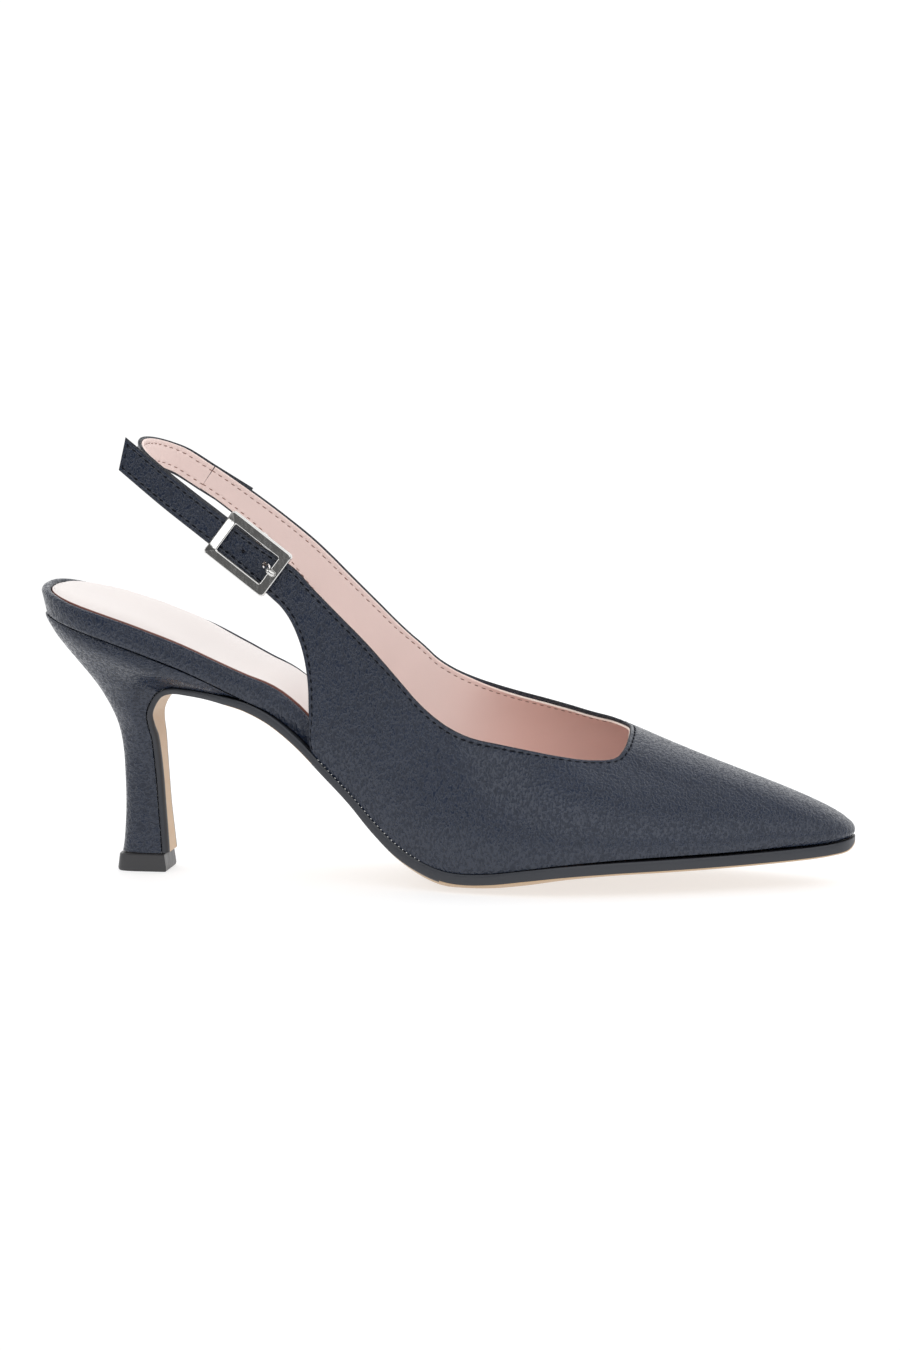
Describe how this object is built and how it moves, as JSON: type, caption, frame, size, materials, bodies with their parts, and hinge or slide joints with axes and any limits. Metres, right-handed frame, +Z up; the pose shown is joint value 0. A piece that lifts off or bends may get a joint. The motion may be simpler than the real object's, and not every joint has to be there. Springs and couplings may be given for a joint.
{
  "type": "slingback pump",
  "caption": "Right slingback pump with a pointed snipped toe, low squared throat, flared mid-height heel and a buckled strap round the back of the heel.",
  "frame": {"origin": "on the floor, under the middle of the shoe's bounding box", "axes": "+X from heel to toe, +Y to the inner side of the foot, +Z up"},
  "size_m": [0.25, 0.0758, 0.1342],
  "materials": {
    "navy_leather": "fine-grained leather with a soft sheen",
    "pink_lining": "smooth pale pink lining leather",
    "tan_sole": "smooth tan sole leather",
    "polished_steel": "polished nickel plating",
    "top_piece_plastic": "satin hard plastic"
  },
  "bodies": {
    "root": {"upper": "navy_leather", "sling_strap": "navy_leather", "buckle_frame": "polished_steel", "buckle_prong": "polished_steel", "insole_board": "navy_leather", "sock": "pink_lining", "outsole": "tan_sole", "heel": "navy_leather", "top_piece": "top_piece_plastic"}
  },
  "joints": []
}
